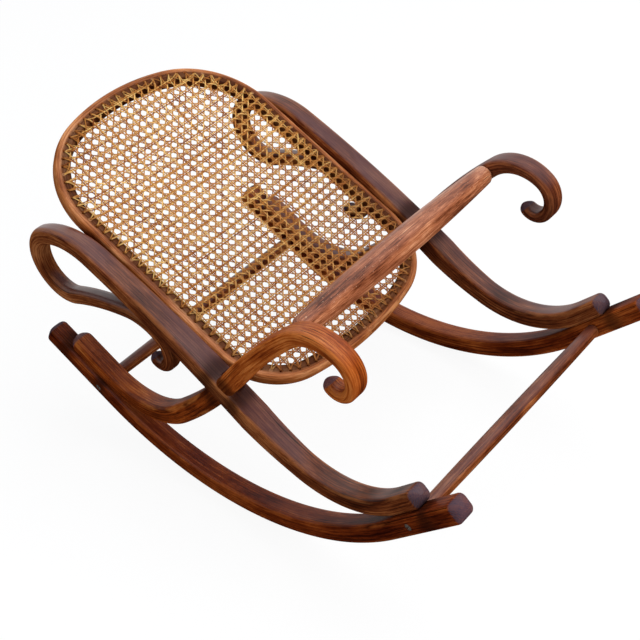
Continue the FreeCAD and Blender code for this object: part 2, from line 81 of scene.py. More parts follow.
# %% The socket class
class Flow:
    """A value that flows through a material's nodes."""

    def __init__(self, tree, socket=None):
        self.tree = tree
        self.socket = socket

    def node(self, kind, settings=None, sockets=None, out=0):
        """Any node: its type, then its settings, then its sockets' values or links."""
        made = self.tree.nodes.new("ShaderNode" + kind)
        for name, value in (settings or {}).items():
            if name == "stops":
                ramp = made.color_ramp
                while len(ramp.elements) < len(value):
                    ramp.elements.new(0.5)
                for element, (place, colour) in zip(ramp.elements, value):
                    element.position = place
                    element.color = (*colour, 1)
            else:
                setattr(made, name, value)
        self.wire(made, sockets or {})
        return Flow(self.tree, made.outputs[out] if made.outputs else None)

    def wire(self, made, sockets):
        """Links or sets some of a node's sockets."""
        for name, value in sockets.items():
            if isinstance(value, Flow):
                self.tree.links.new(value.socket, made.inputs[name])
            else:
                made.inputs[name].default_value = value

    def kept(self, name):
        """A vector that the mesh keeps on its face corners."""
        return self.node("Attribute", {"attribute_name": name}, None, 1)

    def sum(self, operation, *values):
        """A Math node of one operation."""
        return self.node("Math", {"operation": operation}, dict(enumerate(values)))

    def __add__(self, other):
        return self.sum("ADD", self, other)

    def __radd__(self, other):
        return self.sum("ADD", other, self)

    def __sub__(self, other):
        return self.sum("SUBTRACT", self, other)

    def __rsub__(self, other):
        return self.sum("SUBTRACT", other, self)

    def __mul__(self, other):
        return self.sum("MULTIPLY", self, other)

    def __rmul__(self, other):
        return self.sum("MULTIPLY", other, self)

    def __pow__(self, other):
        return self.sum("POWER", self, other)

    def __rpow__(self, other):
        return self.sum("POWER", other, self)

    def sine(self):
        return self.sum("SINE", self)

    def band(self, low, high):
        """0 below low, 1 above high, and smooth between them."""
        settings = {"interpolation_type": "SMOOTHSTEP"}
        return self.node("MapRange", settings, {"Value": self, "From Min": low, "From Max": high})

    def part(self, axis):
        """One of a vector's three numbers."""
        return self.node("SeparateXYZ", None, {0: self}, axis)

    def stretch(self, factors):
        """A vector with each number multiplied by its own factor."""
        return self.node("VectorMath", {"operation": "MULTIPLY"}, {0: self, 1: factors})

    def noise(self, scale=1.0, detail=2.0, roughness=0.5):
        """Soft noise over a vector."""
        sockets = {"Vector": self, "Scale": scale, "Detail": detail, "Roughness": roughness}
        return self.node("TexNoise", None, sockets)

    def tint(self, other, share):
        """This colour mixed with another by a share."""
        return self.node("Mix", {"data_type": "RGBA"}, {0: share, 6: self, 7: other}, 2)

    def seen_rays(self):
        """1 for the rays by which the background is seen: straight, in a reflection or through glass."""
        rays = self.node("LightPath").socket.node.outputs
        names = ("Is Camera Ray", "Is Glossy Ray", "Is Transmission Ray")
        straight, mirrored, through = [Flow(self.tree, rays[name]) for name in names]
        return self.sum("MAXIMUM", self.sum("MAXIMUM", straight, mirrored), through)


def new_material(name):
    """An empty material, its Flow, and a function that wires the finished sockets to the shader."""
    material = bpy.data.materials.new(name)
    material.use_nodes = True
    flow = Flow(material.node_tree)
    nodes = flow.tree.nodes

    def finish(**sockets):
        flow.wire(nodes["Principled BSDF"], {label.replace("_", " "): value for label, value in sockets.items()})
        print("material", name, "with", len(nodes), "nodes")
        return material

    return flow, finish


# %% [markdown]
# ## Studio
# The photograph is a cut-out on pure white, lit by a broad cool sky. A big soft panel overhead and a sky that
# is dim near the horizon give bright tops and deep sides. Two warmer panels, in front and on the right, fill the
# shadows. No panel shows in reflections, where it would haze the dark wood.
# The floor looks white but still takes a faint shadow.

# %% Colours and sky
def colour_of(red, green, blue):
    """A colour as a screen shows it, 0 to 255, in the linear numbers that shaders use."""
    seen = np.array((red, green, blue)) / 255
    linear = np.where(seen < 0.04045, seen / 12.92, ((seen + 0.055) / 1.055) ** 2.4)
    return tuple(float(c) for c in linear)


def rgba(red, green, blue):
    """The same with the fourth number that colour sockets want."""
    return (*colour_of(red, green, blue), 1.0)


bpy.context.scene.view_settings.view_transform = "Standard"
world = bpy.data.worlds.new("studio_sky")
bpy.context.scene.world = world
world.use_nodes = True
world.node_tree.nodes.clear()
sky = Flow(world.node_tree)
toward = sky.node("TexCoord", None, None, 0)
sky_tones = [
    (0.0, (0.30, 0.28, 0.26)), (0.5, (0.34, 0.34, 0.35)), (0.75, (0.62, 0.66, 0.72)), (1.0, (0.86, 0.92, 1.0))]
glow = sky.node("ValToRGB", {"stops": sky_tones}, {0: toward.part(2) * 0.5 + 0.5})
soft = sky.node("Background", None, {0: glow, 1: 0.62 + toward.part(1) * 0.25})
plain = sky.node("Background", None, {0: (1, 1, 1, 1), 1: 1.0})
sky.node("OutputWorld", None, {0: sky.node("MixShader", None, {0: sky.seen_rays(), 1: soft, 2: plain})})

# %% Floor
FLOOR_REACH, FLOOR_DROP = 6.0, 0.0004  # in metres; the drop keeps the floor clear of the runners
floor_mesh = bpy.data.meshes.new("floor")
floor_corners = np.array(((-1, -1, 0), (1, -1, 0), (1, 1, 0), (-1, 1, 0))) * FLOOR_REACH - (0, 0, FLOOR_DROP)
floor_mesh.from_pydata(floor_corners.tolist(), [], [(0, 1, 2, 3)])
floor = bpy.data.objects.new("floor", floor_mesh)
bpy.context.scene.collection.objects.link(floor)
floor_paint = bpy.data.materials.new("pale_floor")
floor_paint.use_nodes = True
floor_paint.node_tree.nodes.clear()
paint = Flow(floor_paint.node_tree)
seen = paint.seen_rays()
matt = paint.node("BsdfDiffuse", None, {0: seen * 0.45 + 0.5})
white = paint.node("Emission", None, {0: (1, 1, 1, 1), 1: 1.0})
paint.node("OutputMaterial", None, {0: paint.node("MixShader", None, {0: seen * 0.92, 1: matt, 2: white})})
floor_mesh.materials.append(floor_paint)

# %% Lamps
STOOL_MIDDLE = np.array((0, 0, 0.2))


def unit(vectors):
    """Vectors made one long."""
    return vectors / np.linalg.norm(vectors, axis=-1, keepdims=True)


def softbox(name, place, size, watts, colour):
    """A soft rectangular lamp at a place, turned to face the stool and hidden from reflections."""
    lamp = bpy.data.lights.new(name, "AREA")
    lamp.shape = "RECTANGLE"
    lamp.size, lamp.size_y = size
    lamp.energy = watts
    lamp.color = colour
    stand = bpy.data.objects.new(name, lamp)
    stand.visible_glossy = False
    away = unit(np.array(place) - STOOL_MIDDLE)
    side = unit(np.cross((0.0, 1.0, 0.01), away))
    put(stand, side, np.cross(away, side), away, place)


softbox("sky_panel", (0.2, 0.7, 2.6), (2.4, 2.0), 50.0, (0.95, 0.97, 1.0))
softbox("front_panel", (2.5, 0.5, 1.3), (1.3, 1.1), 36.0, (1.0, 0.95, 0.88))
softbox("side_panel", (0.2, -2.5, 1.3), (1.6, 1.0), 13.0, (1.0, 0.95, 0.9))
print("studio ready")

# %% [markdown]
# ## Bent sticks
# Each stick follows legs: straight runs and bends of a radius and a turn, with the stick's width,
# thickness and corner radius at the end of each. A sweep of a rounded rectangle along such a path is
# better here than a bevelled curve, because every point then also knows its place in the unbent stick.

# %% Paths of legs
class BentPath:
    """A flat path of legs: size and turn of each, with its width, thickness and corner radius at the far end."""

    def __init__(self, x, z, heading, section, legs):
        self.size = np.array([leg[0] for leg in legs], float)
        self.turn = np.radians([leg[1] for leg in legs])
        self.length = np.where(self.turn == 0, self.size, self.size * np.abs(self.turn))
        self.begin = np.concatenate([[0.0], np.cumsum(self.length)[:-1]])
        self.total = float(self.length.sum())
        self.bend = self.turn / self.length
        self.start_heading = np.radians(heading) + np.concatenate([[0.0], np.cumsum(self.turn)[:-1]])
        self.sections = np.array([section] + [leg[2:] for leg in legs], float)
        self.x, self.z = np.full(len(legs), float(x)), np.full(len(legs), float(z))
        for k in range(1, len(legs)):
            self.x[k], self.z[k] = self.walk(k - 1, self.length[k - 1])[:2]

    def walk(self, leg, run):
        """Place and heading after a run along a leg: a straight line, or an arc's sine and cosine."""
        first, bend = self.start_heading[leg], self.bend[leg]
        heading = first + bend * run
        straight = np.abs(bend) < 1e-9
        safe = np.where(straight, 1.0, bend)
        x = self.x[leg] + np.where(straight, run * np.cos(first), (np.sin(heading) - np.sin(first)) / safe)
        z = self.z[leg] + np.where(straight, run * np.sin(first), (np.cos(first) - np.cos(heading)) / safe)
        return x, z, heading

    def at(self, along):
        """Place, heading and section at any distances along the path."""
        leg = np.clip(np.searchsorted(self.begin, along, "right") - 1, 0, len(self.size) - 1)
        run = along - self.begin[leg]
        share = (run / self.length[leg])[:, None]
        section = self.sections[leg] * (1 - share) + self.sections[leg + 1] * share
        return (*self.walk(leg, run), section)

    def steps(self, straight, angle):
        """Distances along the path, closer together in tighter bends."""
        counts = np.ceil(np.maximum(self.length / straight, np.abs(self.turn) / np.radians(angle))).astype(int)
        runs = [b + np.arange(n) / n * size for b, size, n in zip(self.begin, self.length, counts)]
        return np.concatenate(runs + [[self.total]])


# %% The runner
SHIFT = -19.3775  # where the runners touch the floor, along X
HALF_RUNNERS, HALF_FRAME = 200.0, 195.5  # from the middle plane to the runners, and to the rails and legs
RUNNER = (30.0, 26.5, 6.0)  # width, thickness and corner radius
RADIUS, REAR_RUN, FRONT_RUN = 395.0, 127.0, 135.0
REAR_RISE, FRONT_RISE = 29.395, 46.105  # degrees from the floor to each straight end
rise = np.radians(REAR_RISE)
runner_path = BentPath(
    SHIFT - RADIUS * np.sin(rise) - REAR_RUN * np.cos(rise),
    RUNNER[1] / 2 + RADIUS * (1 - np.cos(rise)) + REAR_RUN * np.sin(rise),
    -REAR_RISE, RUNNER,
    [(REAR_RUN, 0, *RUNNER), (RADIUS, REAR_RISE + FRONT_RISE, *RUNNER), (FRONT_RUN, 0, *RUNNER)])
REAR_FOOT_AT, REAR_STRETCHER_AT = 34.5, 104.5  # distances along the runner from its rear end
front_foot_at, front_stretcher_at = runner_path.total - 56.0, runner_path.total - 91.0


def beside(path, along, above):
    """A point beside a path: a distance along it and above it, with the heading there."""
    x, z, heading, _ = path.at(np.array([along]))
    x, z = x[0] - above * np.sin(heading[0]), z[0] + above * np.cos(heading[0])
    return float(x), float(z), float(np.degrees(heading[0]))


# %% The rail and the cross leg
RAIL_FOOT, LEG_FOOT = (28.5, 23.5, 6.0), (30.0, 23.5, 9.0)
rail_x, rail_z, heading = beside(runner_path, front_foot_at, (RUNNER[1] + RAIL_FOOT[1]) / 2)
rail_path = BentPath(rail_x, rail_z, heading + 180, RAIL_FOOT, [
    (46.5, 0, *RAIL_FOOT), (136.4, -67.0, 30.0, 27.0, 6.0), (390.0, -11.4, 35.0, 29.0, 5.0),
    (1700.0, 9.4, 30.5, 25.5, 7.0), (114.0, 49.5, 26.0, 25.0, 10.0), (45.7, 175.4, 24.0, 22.5, 9.5),
    (394.5, -16.0, 24.0, 18.5, 9.0), (70.9, -44.2, 24.0, 16.5, 8.0), (31.2, -87.8, 24.0, 17.5, 8.0),
    (16.5, -115.4, 20.5, 15.0, 7.0)])
leg_x, leg_z, heading = beside(runner_path, REAR_FOOT_AT, (RUNNER[1] + LEG_FOOT[1]) / 2)
leg_path = BentPath(leg_x, leg_z, heading, LEG_FOOT, [
    (77.0, 0, *LEG_FOOT), (117.6, 71.6, 31.0, 28.5, 8.0), (819.0, 12.5, 31.0, 26.0, 6.0),
    (750.0, -10.7, 30.0, 21.5, 7.0), (57.5, -76.6, 29.0, 15.0, 6.5), (32.1, -89.9, 28.0, 15.0, 6.5),
    (19.9, -118.0, 22.0, 14.5, 6.0)])
foot_bar_at = leg_path.begin[4] - 6.0  # along the leg, just before its hook
print("lengths of runner, rail and cross leg:", [round(p.total) for p in (runner_path, rail_path, leg_path)])

# %% Where the rail and the leg cross
RAIL_SEARCH, LEG_SEARCH = (240, 500), (220, 480)  # stretches of each stick that are searched


def crossing(tries=1200):
    """Distances along the rail and the cross leg at which their middle lines meet."""
    rail_along, leg_along = np.linspace(*RAIL_SEARCH, tries), np.linspace(*LEG_SEARCH, tries)
    rail_x, rail_z, _, _ = rail_path.at(rail_along)
    leg_x, leg_z, _, _ = leg_path.at(leg_along)
    gap = np.hypot(rail_x[:, None] - leg_x[None], rail_z[:, None] - leg_z[None])
    i, j = np.unravel_index(gap.argmin(), gap.shape)
    return rail_along[i], leg_along[j]


rail_meet, leg_meet = crossing()
print("the rail and the leg cross at", round(rail_meet, 1), "and", round(leg_meet, 1), "mm")

# %% [markdown]
# ## From grids to meshes
# A swept stick is a grid: rings along the path, points round each ring. The mesh keeps with every corner
# its place in the unbent stick and its wear and painted light: how near a rounded edge (below zero in the painted
# shade and grime of a joint), how far it faces up, which sets the varnish and the painted sheen, and whether it is
# end grain. They are kept on face corners, because a Boolean cut carries those over to the cut mesh.

# %% Mesh helpers
def spread(*values):
    """Values for the points of a grid, put together as vectors."""
    return np.stack(np.broadcast_arrays(*values), -1)


def mesh_piece(name, points, quads, triangles, places, wear):
    """A mesh object from points in mm, its faces turned outwards, with its place and its masks for worn edges,
    painted light and end grain on its corners.
    """
    mesh = bpy.data.meshes.new(name)
    points = points * MM
    a, b, c, d = np.moveaxis(points[quads], 1, 0)
    volume = np.einsum("ij,ij->", a, np.cross(b, c) + np.cross(c, d))
    a, b, c = np.moveaxis(points[triangles], 1, 0)
    volume += np.einsum("ij,ij->", a, np.cross(b, c))
    if volume < 0:
        quads, triangles = quads[:, ::-1], triangles[:, ::-1]
    loops = np.concatenate([quads.ravel(), triangles.ravel()])
    sizes = np.repeat((4, 3), (len(quads), len(triangles)))
    mesh.vertices.add(len(points))
    mesh.vertices.foreach_set("co", points.ravel())
    mesh.loops.add(len(loops))
    mesh.loops.foreach_set("vertex_index", loops)
    mesh.polygons.add(len(sizes))
    mesh.polygons.foreach_set("loop_start", np.cumsum(sizes) - sizes)
    mesh.polygons.foreach_set("use_smooth", np.ones(len(sizes), bool))
    mesh.update(calc_edges=True)
    for label, values in (("place", places), ("wear", wear)):
        layer = mesh.attributes.new(label, "FLOAT_VECTOR", "CORNER")
        layer.data.foreach_set("vector", np.asarray(values, np.float32)[loops].ravel())
    piece = bpy.data.objects.new(name, mesh)
    bpy.context.scene.collection.objects.link(piece)
    return piece


def tube_faces(rings, around, closed=False):
    """Quads between neighbouring rings, and a fan of triangles at each open end."""
    ring, spot = np.meshgrid(np.arange(rings if closed else rings - 1), np.arange(around), indexing="ij")
    after, beyond = (ring + 1) % rings, (spot + 1) % around
    quads = np.stack([
        ring * around + spot, ring * around + beyond, after * around + beyond, after * around + spot], -1)
    spot = np.arange(0 if closed else around)
    beyond = (spot + 1) % around
    first, last, tail = rings * around, rings * around + 1, (rings - 1) * around
    front_fan = np.stack([np.full_like(spot, first), beyond, spot], -1)
    rear_fan = np.stack([np.full_like(spot, last), tail + spot, tail + beyond], -1)
    return quads.reshape(-1, 4), np.concatenate([front_fan, rear_fan])


# %% Sweeping a rounded rectangle
CORNER_STEPS, FLAT_STEPS = 6, 3
CROWN, SANDED = 0.018, 0.996  # how far the flats bulge, and how much of the thickness sanding leaves


def ring_shape(half_width, half_thick, edge):
    """A rounded rectangle for each station: four quarter circles joined by flats that are crowned a little.
    Gives across, through, the normal's two parts, and how near each point is to a rounded edge."""
    quarter = np.linspace(0, np.pi / 2, CORNER_STEPS + 1)
    flats = np.arange(1, FLAT_STEPS + 1) / (FLAT_STEPS + 1)
    signs = ((1, 1), (-1, 1), (-1, -1), (1, -1))
    across, through, normal, corner = [], [], [], []
    for k, (u, v) in enumerate(signs):
        turn = quarter + k * np.pi / 2
        nu, nv = signs[(k + 1) % 4]
        facing = spread(np.cos(turn), np.sin(turn))
        out = facing[-1]
        across.append(u * (half_width - edge) + edge * facing[:, 0])
        across.append((u + (nu - u) * flats) * (half_width - edge) + edge * out[0])
        through.append(v * (half_thick - edge) + edge * facing[:, 1])
        through.append((v + (nv - v) * flats) * (half_thick - edge) + edge * out[1])
        normal += [facing, np.tile(out, (FLAT_STEPS, 1))]
        corner += [np.sin(2 * quarter), np.zeros(FLAT_STEPS)]
    across, through = np.concatenate(across, 1), np.concatenate(through, 1)
    crowned = across * (1 - CROWN * (through / half_thick) ** 2)
    through = through * (SANDED - CROWN * (across / half_width) ** 2)
    return crowned, through, np.concatenate(normal), np.concatenate(corner)


def carried(x, z, heading, y, across, through):
    """The points of sections at their places along a path, and the middles of the first and the last."""
    lift_x, lift_z = -np.sin(heading)[:, None], np.cos(heading)[:, None]
    grid = spread(x[:, None] + through * lift_x, y + across, z[:, None] + through * lift_z)
    return np.concatenate([grid.reshape(-1, 3), grid[[0, -1]].mean(1)])


def rounding(distance, radius):
    """What a rounded end takes off each side at a distance from the tip: a quarter circle."""
    inside = np.clip(radius - distance, 0, radius)
    return radius - np.sqrt(np.maximum(radius ** 2 - inside ** 2, 0))


TREE_STEP = np.array((1.37, 0.231, 0.173))  # how far apart in the tree two sticks were cut, in metres
SHADE_AND_GRIME_REACH, SHADE_AND_GRIME_DEPTH = 18.0, 0.8  # how far painted shade and grime spread from a joint, and how strong they are there
END_RINGS, END_ROOM = 9, 1.5  # rings that round an end, and the room between them and the next ring


def swept_stick(name, path, y, ends, joints, number):
    """A rounded rectangle carried along a bent path. ends gives, for each end, the radii that round it
    across its width and through its thickness. Painted shade and dirt gather round the joints, given as distances
    along the path. number gives each stick its own part of the tree."""
    deep_first, deep_last = max(ends[0]), max(ends[1])
    bow = np.sin(np.linspace(0.02, 1, END_RINGS) * np.pi / 2)
    depth = 1 - np.sqrt(1 - bow ** 2)
    along = path.steps(straight=4.0, angle=4.0)
    along = along[(along > deep_first + END_ROOM) & (along < path.total - deep_last - END_ROOM)]
    along = np.concatenate(
        [[0], depth * deep_first, along, path.total - depth[::-1] * deep_last, [path.total]])
    x, z, heading, section = path.at(along)
    taken = [rounding(along, ends[0][k]) + rounding(path.total - along, ends[1][k]) for k in (0, 1)]
    half_width, half_thick = [(section[:, k] / 2 - taken[k])[:, None] for k in (0, 1)]
    edge = np.minimum(section[:, 2:3], 0.98 * np.minimum(half_width, half_thick))
    across, through, normal, corner = ring_shape(half_width, half_thick, edge)
    points = carried(x, z, heading, y, across, through)
    place = spread(along[:, None], across, through).reshape(-1, 3)
    place = np.concatenate([place, [[0, 0, 0], [path.total, 0, 0]]]) * MM + TREE_STEP * number
    end_grain = np.maximum(1 - along / deep_first, 1 - (path.total - along) / deep_last)
    # painted shade and grime: darker round the joints, where the parts meet
    grime_and_shade = np.exp(-((along[:, None] - np.array(joints)) / SHADE_AND_GRIME_REACH) ** 2).sum(1)[:, None]
    edge_wear_joint_shade_and_grime, upward = corner * (1 - grime_and_shade) - SHADE_AND_GRIME_DEPTH * grime_and_shade, normal[:, 1] * np.cos(heading)[:, None]
    wear = spread(edge_wear_joint_shade_and_grime, upward, np.clip(end_grain, 0, 1)[:, None]).reshape(-1, 3)
    wear = np.concatenate([wear, [[0, -np.sin(heading[0]), 1], [0, np.sin(heading[-1]), 1]]])
    piece = mesh_piece(name, points, *tube_faces(*across.shape), place, wear)
    print(name, "length", round(path.total), "mm,", len(piece.data.polygons), "faces")
    return piece


# %% [markdown]
# ## The two side frames
# A runner, a rail and a cross leg on each side. The rail and the cross leg cross in a half-lap:
# the rail keeps its outer half and the leg its inner half. Each is cut with a swept half of the other.

# %% Sticks of the side frames
SIDES = {"left": 1, "right": -1}
LAP_EDGES = np.array((-22.0, 22.0))  # from the middle of a lap to its shoulders
RUNNER_JOINTS = (34.0, REAR_STRETCHER_AT, front_foot_at)
FRAME_STICKS = {
    "runner": ("runner_stick", runner_path, HALF_RUNNERS, ((7.0, 2.5), (11.0, 11.0)), RUNNER_JOINTS),
    "side_rail": ("rail_stick", rail_path, HALF_FRAME, ((11.0, 11.0), (9.2, 5.0)), rail_meet + LAP_EDGES),
    "cross_leg": ("leg_stick", leg_path, HALF_FRAME, ((14.0, 11.0), (10.0, 5.0)), leg_meet + LAP_EDGES)}
sticks = {}
for name, side in SIDES.items():
    for node, (kind, path, half, ends, joints) in FRAME_STICKS.items():
        stick = swept_stick(f"{name}_{kind}", path, side * half, ends, joints, len(sticks) + 1)
        sticks[f"{name}_{node}"] = stick

# %% [markdown]
# ## Cuts
# Laps, screw recesses and cane holes are real cuts. Each tool is a swept or turned surface,
# and the Boolean is worked out once and kept as plain mesh, so no tool is left in the scene.

# %% Cutting helpers
ASKEW = (0.31, 0.52, 0.79)  # a direction that no axis here shares


def turned_surface(profile, start, axis, around=24):
    """A profile of (distance, radius) turned about an axis from a start point: rings of a circle."""
    axis = unit(np.array(axis, float))
    side = unit(np.cross(axis, ASKEW))
    other = np.cross(axis, side)
    turn = np.linspace(0, 2 * np.pi, around, endpoint=False)
    ring = np.cos(turn)[:, None] * side + np.sin(turn)[:, None] * other
    distance, radius = np.array(profile, float).T
    grid = np.array(start) + distance[:, None, None] * axis + radius[:, None, None] * ring[None]
    poles = np.array(start) + distance[[0, -1], None] * axis
    return (np.concatenate([grid.reshape(-1, 3), poles]), *tube_faces(len(profile), around))


def joined(surfaces):
    """Several closed surfaces as one set of points, quads and triangles."""
    points, quads, triangles = zip(*surfaces)
    starts = np.cumsum([0] + [len(some) for some in points])
    quads = np.concatenate([some + start for some, start in zip(quads, starts)])
    triangles = np.concatenate([some + start for some, start in zip(triangles, starts)])
    return np.concatenate(points), quads, triangles


def cut(piece, surfaces):
    """The piece less the closed surfaces, as plain mesh."""
    points, quads, triangles = joined(surfaces)
    blank = np.zeros_like(points)
    tool = mesh_piece("tool", points, quads, triangles, blank, blank)
    step = piece.modifiers.new("cut", "BOOLEAN")
    step.operation = "DIFFERENCE"
    step.solver = "EXACT"
    step.object = tool
    bpy.context.view_layer.update()
    graph = bpy.context.evaluated_depsgraph_get()
    mesh = bpy.data.meshes.new_from_object(
        piece.evaluated_get(graph), preserve_all_data_layers=True, depsgraph=graph)
    piece.modifiers.remove(step)
    old, spent = piece.data, tool.data
    piece.data = mesh
    mesh.name = piece.name
    bpy.data.objects.remove(tool)
    bpy.data.meshes.remove(old)
    bpy.data.meshes.remove(spent)
    print(piece.name, "cut, now", len(mesh.polygons), "faces")


def half_bar(path, first, last, y, sign, grow=0.05):
    """The half of a stick on one side of its middle plane, swept between two distances and grown a little."""
    along = np.linspace(first, last, 40)
    x, z, heading, section = path.at(along)
    half_width, half_thick = section[:, :1] / 2 + grow, section[:, 1:2] / 2 + grow
    across, through, _, _ = ring_shape(half_width, half_thick, section[:, 2:3])
    across = np.where(across * sign < 0, 0, across) - sign * grow
    return (carried(x, z, heading, y, across, through), *tube_faces(*across.shape))


HEAD, SHANK, TIP = 5.05, 2.55, 0.3  # radii of a screw's room


def screw_room(length, x, y, z, direction):
    """The room for a countersunk screw whose head is 1 mm below the wood's face."""
    profile = [(-2.0, HEAD), (1.0, HEAD), (3.6, SHANK), (length - 4, SHANK), (length + 1, TIP)]
    return turned_surface(profile, (x, y, z), direction)


# %% Laps, tenon holes and screw recesses
FOOT_SCREW, STRETCHER_SCREW, CROSSING_SCREW = 42.0, 58.0, 24.0  # lengths
FOOT_SCREW_PLACES = (18.0, 40.0)  # along each foot from its end
RUNNER_FACE, LEG_FACE = RUNNER[0] / 2, 15.5  # from a stick's middle to the face that a screw enters
TENON, TENON_DEPTH, TENON_START = 7.05, 30.0, 29.0  # hole: radius, depth, start inwards of the leg's middle
LAP_REACH = 45  # how far the swept half of the other stick reaches
for name, side in SIDES.items():
    y = side * HALF_FRAME
    rail_tool = half_bar(leg_path, leg_meet - LAP_REACH, leg_meet + LAP_REACH, y, -side)
    leg_tool = half_bar(rail_path, rail_meet - LAP_REACH, rail_meet + LAP_REACH, y, side)
    cut(sticks[name + "_side_rail"], [rail_tool])
    bar_x, bar_z, _ = beside(leg_path, foot_bar_at, 0.0)
    meet_x, meet_z, _ = beside(leg_path, leg_meet, 0.0)
    tenon = turned_surface(
        [(0, TENON), (TENON_DEPTH, TENON)], (bar_x, side * (HALF_FRAME - TENON_START), bar_z), (0, side, 0))
    crossing_screw = screw_room(CROSSING_SCREW, meet_x, side * (HALF_FRAME - LEG_FACE), meet_z, (0, side, 0))
    cut(sticks[name + "_cross_leg"], [leg_tool])
    cut(sticks[name + "_cross_leg"], [tenon, crossing_screw])
    tools = []
    for along in (REAR_STRETCHER_AT, front_stretcher_at):
        x, z, _ = beside(runner_path, along, 0.0)
        tools.append(screw_room(STRETCHER_SCREW, x, side * (HALF_RUNNERS + RUNNER_FACE), z, (0, -side, 0)))
    for place in FOOT_SCREW_PLACES:
        for along in (REAR_FOOT_AT + place, front_foot_at - place):
            x, z, turn = beside(runner_path, along, -RUNNER[1] / 2)
            upwards = (-np.sin(np.radians(turn)), 0, np.cos(np.radians(turn)))
            tools.append(screw_room(FOOT_SCREW, x, y, z, upwards))
    cut(sticks[name + "_runner"], tools)

# %% [markdown]
# ## The seat hoop
# One slim stick bent into a ring and spliced. Its path is measured on the sloping seat plane, as distance back
# from the front bar and distance to the left. Front and rear are bowed. The ring of holes is drilled,
# as on the real hoop, and painted shade and grime sit where the cane goes into them.

# %% Path of the hoop
SLOPE = np.radians(25.995)
SEAT_BACK = np.array((-np.cos(SLOPE), 0, np.sin(SLOPE)))
SEAT_UP = np.array((np.sin(SLOPE), 0, np.cos(SLOPE)))
SEAT_FRONT = np.array((84.23 + SHIFT, 0, 178.22))
HOOP_LENGTH, HOOP_HALF = 463.5, 166.7  # from bar to bar along the seat, and half of it across
FRONT_CORNER, REAR_CORNER = 89.0, 119.5  # radii of the corners
FRONT_BOW, REAR_BOW = 11.5, 16.4  # degrees that half of each bowed bar turns
HOOP = (22.0, 20.0, 6.0)  # width, thickness and corner radius
HOLE_INSET, HOLE_PITCH = 0.5, 12.6
HOLE_RADIUS, HOLE_REACH = 2.5, 14  # the drill, and how far it goes above and below the middle
SHADE_AND_GRIME_START, SHADE_AND_GRIME_WIDTH, SHADE_AND_GRIME_BELOW = -5.0, 6.0, -6.0  # of painted shade and grime across the hoop, and how far down
HOOP_PLACE = 9.4  # its own part of the tree, in metres


def seat_points(back, y, up):
    """Points of the sloping seat: distance back, to the left and above the hoop's middle plane."""
    back, y, up = np.broadcast_arrays(back, y, up)
    left = np.array((0, 1.0, 0))
    return SEAT_FRONT + back[..., None] * SEAT_BACK + y[..., None] * left + up[..., None] * SEAT_UP


def bowed_end(corner, bow):
    """Radius of a bowed bar between two corners, and how far that end reaches along the hoop."""
    sine, cosine = np.sin(np.radians(bow)), np.cos(np.radians(bow))
    radius = (HOOP_HALF - corner * (1 - sine)) / sine
    return radius, radius * (1 - cosine) + corner * cosine


def hoop_path(inset):
    """The hoop's outline, moved inwards, from the middle of the front bar round by the right."""
    front, front_reach = bowed_end(FRONT_CORNER, FRONT_BOW)
    rear, rear_reach = bowed_end(REAR_CORNER, REAR_BOW)
    right = [(front - inset, FRONT_BOW), (FRONT_CORNER - inset, 90 - FRONT_BOW),
             (HOOP_LENGTH - front_reach - rear_reach, 0), (REAR_CORNER - inset, 90 - REAR_BOW)]
    legs = right + [(rear - inset, 2 * REAR_BOW)] + right[::-1]
    return BentPath(inset, 0.0, -90, HOOP, [leg + HOOP for leg in legs])


ring_path = hoop_path(HOLE_INSET)
hole_count = round(ring_path.total / HOLE_PITCH)
hole_along = np.arange(hole_count) * ring_path.total / hole_count
hole_back, hole_y, _, _ = ring_path.at(hole_along)

# %% Hoop
spine = hoop_path(0.0)
along = spine.steps(straight=5.0, angle=2.5)[:-1]
back, y, heading, section = spine.at(along)
inward, through, normal, corner = ring_shape(section[:, :1] / 2, section[:, 1:2] / 2, section[:, 2:3])
grid = seat_points(
    back[:, None] - np.sin(heading)[:, None] * inward, y[:, None] + np.cos(heading)[:, None] * inward, through)
place = spread(along[:, None], inward, through).reshape(-1, 3) * MM + HOOP_PLACE
# painted shade and grime on the hoop's inner top and inner side, under the cane
grime_and_shade = np.clip((inward - SHADE_AND_GRIME_START) / SHADE_AND_GRIME_WIDTH, 0, 1) * (through > SHADE_AND_GRIME_BELOW)
wear = spread(corner * (1 - grime_and_shade) - grime_and_shade, normal[:, 1] * SEAT_UP[2], 0.0).reshape(-1, 3)
hoop = mesh_piece("seat_hoop_bar", grid.reshape(-1, 3), *tube_faces(*inward.shape, closed=True), place, wear)
drill = [(-HOLE_REACH, HOLE_RADIUS), (HOLE_REACH, HOLE_RADIUS)]
holes = seat_points(hole_back, hole_y, 0.0)
cut(hoop, [turned_surface(drill, hole, SEAT_UP, around=14) for hole in holes])
sticks["seat_hoop"] = hoop
print("hoop", round(spine.total), "mm round with", hole_count, "holes")

# %% [markdown]
# ## Turned bars
# The foot bar and the two stretchers come off a lathe: a gentle swell, rounded ends, and on the foot bar a tenon.

# %% Bars
SPIN_STEPS = 48
TENON_LENGTH = 14.0
NOSE_WEAR = 0.6


